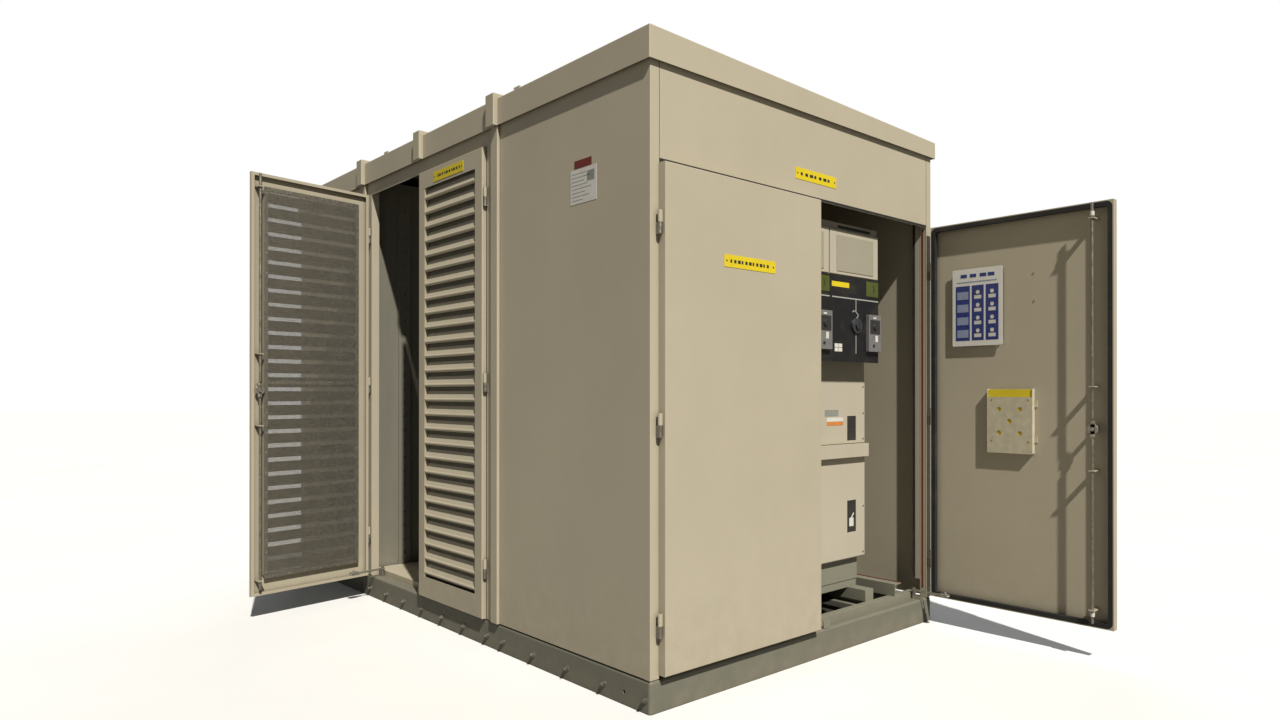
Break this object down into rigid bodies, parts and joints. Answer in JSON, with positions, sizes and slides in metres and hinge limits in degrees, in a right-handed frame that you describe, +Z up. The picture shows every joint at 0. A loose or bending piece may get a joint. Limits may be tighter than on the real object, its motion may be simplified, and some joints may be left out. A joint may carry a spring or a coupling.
{
  "type": "kiosk substation",
  "caption": "Pad-mounted transformer kiosk with a switchgear room, a louvred transformer room and a low-voltage room, each behind hinged double doors.",
  "frame": {"origin": "centre of the base's underside, on the slab it stands on", "axes": "+X to the high-voltage end, -Y to the long front with the louvred doors, +Z up"},
  "size_m": [4.296, 2.38, 2.334],
  "materials": {
    "base_paint": "satin",
    "zinc_fasteners": "satin",
    "floor_paint": "satin",
    "inner_paint": "satin",
    "wall_paint": "satin",
    "cover_paint": "satin",
    "roof_paint": "satin",
    "lug_paint": "satin",
    "rear_louvre_paint": "satin",
    "label_yellow": "gloss",
    "hinge_zinc": "satin",
    "plinth_grey": "satin",
    "switchgear_paint": "satin",
    "switchgear_cover_paint": "satin",
    "mimic_black": "satin",
    "shaft_steel": "satin",
    "tank_paint": "satin",
    "core_steel": "matte",
    "bushing_glaze": "gloss",
    "knob_plastic": "matte",
    "valve_brass": "satin",
    "handwheel_red": "satin",
    "board_zinc": "satin",
    "busbar_copper": "satin",
    "breaker_plastic": "matte",
    "toggle_plastic": "matte",
    "fuse_base_plastic": "matte",
    "fuse_carrier_plastic": "matte",
    "pocket_plastic": "matte",
    "sign_white": "gloss",
    "gasket_rubber": "matte",
    "mesh_zinc": "satin",
    "stay_zinc": "satin",
    "handle_black": "satin",
    "rod_zinc": "satin",
    "latch_zinc": "satin",
    "louvre_door_paint": "satin",
    "door_paint": "satin"
  },
  "bodies": {
    "kiosk": {"base_bolts": "zinc_fasteners", "base_frame": "base_paint", "busbars": "busbar_copper", "drain_valve": "valve_brass", "earth_bar": "busbar_copper", "fixed_pivots": "hinge_zinc", "floor_plates": "floor_paint", "frame_posts": "inner_paint", "fuse_switch_bases": "fuse_base_plastic", "joint_covers": "cover_paint", "label_plates": "label_yellow", "lifting_lugs": "lug_paint", "low_voltage_board": "board_zinc", "main_breaker": "breaker_plastic", "rear_louvre_panel": "rear_louvre_paint", "roof_sections": "roof_paint", "switchgear_body": "switchgear_paint", "switchgear_covers": "switchgear_cover_paint", "switchgear_mimic_panel": "mimic_black", "switchgear_plinth": "plinth_grey", "transformer_bushings": "bushing_glaze", "transformer_core": "core_steel", "transformer_cover": "tank_paint", "transformer_radiators": "tank_paint", "transformer_tank": "tank_paint", "wall_panels": "wall_paint"},
    "hv_left_door": {"hv_left_leaf": "door_paint", "hv_left_gasket": "gasket_rubber"},
    "hv_right_door": {"hv_right_leaf": "door_paint", "hv_right_gasket": "gasket_rubber", "document_pocket": "pocket_plastic", "sign_plate": "sign_white"},
    "hv_right_handle_body": {"hv_right_handle": "handle_black"},
    "hv_right_rod_upper_body": {"hv_right_rod_upper": "rod_zinc"},
    "hv_right_rod_lower_body": {"hv_right_rod_lower": "rod_zinc"},
    "hv_right_stay_body": {"hv_right_stay": "stay_zinc"},
    "tx_left_door": {"tx_left_leaf": "louvre_door_paint", "tx_left_mesh": "mesh_zinc"},
    "tx_left_handle_body": {"tx_left_handle": "handle_black"},
    "tx_left_rod_upper_body": {"tx_left_rod_upper": "rod_zinc"},
    "tx_left_rod_lower_body": {"tx_left_rod_lower": "rod_zinc"},
    "tx_left_stay_body": {"tx_left_stay": "stay_zinc"},
    "tx_right_door": {"tx_right_leaf": "louvre_door_paint", "tx_right_mesh": "mesh_zinc"},
    "lv_left_door": {"lv_left_leaf": "door_paint", "lv_left_gasket": "gasket_rubber"},
    "lv_right_door": {"lv_right_leaf": "door_paint", "lv_right_gasket": "gasket_rubber"},
    "lv_right_handle_body": {"lv_right_handle": "handle_black"},
    "lv_right_rod_upper_body": {"lv_right_rod_upper": "rod_zinc"},
    "lv_right_rod_lower_body": {"lv_right_rod_lower": "rod_zinc"},
    "tx_right_latch_body": {"tx_right_latch": "latch_zinc"},
    "switchgear_shaft_left_body": {"switchgear_shaft_left": "shaft_steel"},
    "switchgear_shaft_middle_body": {"switchgear_shaft_middle": "shaft_steel"},
    "switchgear_shaft_right_body": {"switchgear_shaft_right": "shaft_steel"},
    "tap_selector_body": {"tap_selector_knob": "knob_plastic"},
    "drain_handwheel_body": {"drain_handwheel": "handwheel_red"},
    "main_breaker_toggle_body": {"main_breaker_toggle": "toggle_plastic"},
    "fuse_carrier_1_body": {"fuse_carrier_1": "fuse_carrier_plastic"},
    "fuse_carrier_2_body": {"fuse_carrier_2": "fuse_carrier_plastic"}
  },
  "joints": [
    {"name": "hv_left_hinge", "type": "hinge", "parent": "kiosk", "child": "hv_left_door", "pos_m": [1.708, -0.837, 0.967], "axis": [0, 0, -1], "range_deg": [0, 115]},
    {"name": "hv_right_hinge", "type": "hinge", "parent": "kiosk", "child": "hv_right_door", "pos_m": [1.708, 0.837, 0.967], "axis": [0, 0, 1], "range_deg": [-90, 25]},
    {"name": "hv_right_handle_turn", "type": "hinge", "parent": "hv_right_door", "child": "hv_right_handle_body", "pos_m": [2.465, 0.854, 0.93], "axis": [0, 1, 0], "range_deg": [0, 90]},
    {"name": "hv_right_rod_upper_slide", "type": "slide", "parent": "hv_right_door", "child": "hv_right_rod_upper_body", "axis": [0, 0, 1], "range_m": [0, 0.02]},
    {"name": "hv_right_rod_lower_slide", "type": "slide", "parent": "hv_right_door", "child": "hv_right_rod_lower_body", "axis": [0, 0, -1], "range_m": [0, 0.02]},
    {"name": "hv_right_stay_swing", "type": "hinge", "parent": "kiosk", "child": "hv_right_stay_body", "pos_m": [1.652, 0.777, 0.148], "axis": [0, 0, 1], "range_deg": [-90, 25]},
    {"name": "tx_left_hinge", "type": "hinge", "parent": "kiosk", "child": "tx_left_door", "pos_m": [-0.613, -0.876, 1.12], "axis": [0, 0, -1], "range_deg": [-80, 35]},
    {"name": "tx_left_handle_turn", "type": "hinge", "parent": "tx_left_door", "child": "tx_left_handle_body", "pos_m": [-0.52265, -1.44597, 1.09], "axis": [0.9848, 0.1736, 0], "range_deg": [0, 90]},
    {"name": "tx_left_rod_upper_slide", "type": "slide", "parent": "tx_left_door", "child": "tx_left_rod_upper_body", "axis": [0, 0, 1], "range_m": [0, 0.02]},
    {"name": "tx_left_rod_lower_slide", "type": "slide", "parent": "tx_left_door", "child": "tx_left_rod_lower_body", "axis": [0, 0, -1], "range_m": [0, 0.02]},
    {"name": "tx_left_stay_swing", "type": "hinge", "parent": "kiosk", "child": "tx_left_stay_body", "pos_m": [-0.553, -0.827, 0.148], "axis": [0, 0, -1], "range_deg": [-80, 35]},
    {"name": "tx_right_hinge", "type": "hinge", "parent": "kiosk", "child": "tx_right_door", "pos_m": [0.613, -0.876, 1.12], "axis": [0, 0, 1], "range_deg": [0, 115]},
    {"name": "lv_left_hinge", "type": "hinge", "parent": "kiosk", "child": "lv_left_door", "pos_m": [-1.708, 0.837, 0.967], "axis": [0, 0, -1], "range_deg": [0, 115]},
    {"name": "lv_right_hinge", "type": "hinge", "parent": "kiosk", "child": "lv_right_door", "pos_m": [-1.708, -0.837, 0.967], "axis": [0, 0, 1], "range_deg": [0, 115]},
    {"name": "lv_right_handle_turn", "type": "hinge", "parent": "lv_right_door", "child": "lv_right_handle_body", "pos_m": [-1.725, -0.08, 0.93], "axis": [-1, 0, 0], "range_deg": [0, 90]},
    {"name": "lv_right_rod_upper_slide", "type": "slide", "parent": "lv_right_door", "child": "lv_right_rod_upper_body", "axis": [0, 0, 1], "range_m": [0, 0.02]},
    {"name": "lv_right_rod_lower_slide", "type": "slide", "parent": "lv_right_door", "child": "lv_right_rod_lower_body", "axis": [0, 0, -1], "range_m": [0, 0.02]},
    {"name": "tx_right_latch_turn", "type": "hinge", "parent": "tx_right_door", "child": "tx_right_latch_body", "pos_m": [0.03, -0.857, 1], "axis": [0, 1, 0], "range_deg": [0, 90]},
    {"name": "switchgear_shaft_left_turn", "type": "hinge", "parent": "kiosk", "child": "switchgear_shaft_left_body", "pos_m": [1.618, -0.354, 1.373], "axis": [1, 0, 0], "range_deg": [-60, 60]},
    {"name": "switchgear_shaft_middle_turn", "type": "hinge", "parent": "kiosk", "child": "switchgear_shaft_middle_body", "pos_m": [1.618, 0.026, 1.373], "axis": [1, 0, 0], "range_deg": [-60, 60]},
    {"name": "switchgear_shaft_right_turn", "type": "hinge", "parent": "kiosk", "child": "switchgear_shaft_right_body", "pos_m": [1.618, 0.381, 1.373], "axis": [1, 0, 0], "range_deg": [-60, 60]},
    {"name": "tap_selector_turn", "type": "hinge", "parent": "kiosk", "child": "tap_selector_body", "pos_m": [-0.3, -0.12, 1.26], "axis": [0, 0, 1], "range_deg": [-72, 72]},
    {"name": "drain_handwheel_turn", "type": "hinge", "parent": "kiosk", "child": "drain_handwheel_body", "pos_m": [0.532, 0, 0.32], "axis": [0, 0, 1], "range_deg": [0, 540]},
    {"name": "main_breaker_toggle_throw", "type": "hinge", "parent": "kiosk", "child": "main_breaker_toggle_body", "pos_m": [-1.292, -0.34, 1.1], "axis": [0, 1, 0], "range_deg": [-25, 25]},
    {"name": "fuse_carrier_1_swing", "type": "hinge", "parent": "kiosk", "child": "fuse_carrier_1_body", "pos_m": [-1.2465, 0.02, 0.844], "axis": [0, -1, 0], "range_deg": [0, 60]},
    {"name": "fuse_carrier_2_swing", "type": "hinge", "parent": "kiosk", "child": "fuse_carrier_2_body", "pos_m": [-1.2465, 0.22, 0.844], "axis": [0, -1, 0], "range_deg": [0, 60]}
  ],
  "couplings": [
    {"joint": "hv_right_rod_upper_slide", "follows": "hv_right_handle_turn", "m_per_rad": 0.0127},
    {"joint": "hv_right_rod_lower_slide", "follows": "hv_right_handle_turn", "m_per_rad": 0.0127},
    {"joint": "hv_right_stay_swing", "follows": "hv_right_hinge", "ratio": 1},
    {"joint": "tx_left_rod_upper_slide", "follows": "tx_left_handle_turn", "m_per_rad": 0.0127},
    {"joint": "tx_left_rod_lower_slide", "follows": "tx_left_handle_turn", "m_per_rad": 0.0127},
    {"joint": "tx_left_stay_swing", "follows": "tx_left_hinge", "ratio": 1},
    {"joint": "lv_right_rod_upper_slide", "follows": "lv_right_handle_turn", "m_per_rad": 0.0127},
    {"joint": "lv_right_rod_lower_slide", "follows": "lv_right_handle_turn", "m_per_rad": 0.0127}
  ]
}
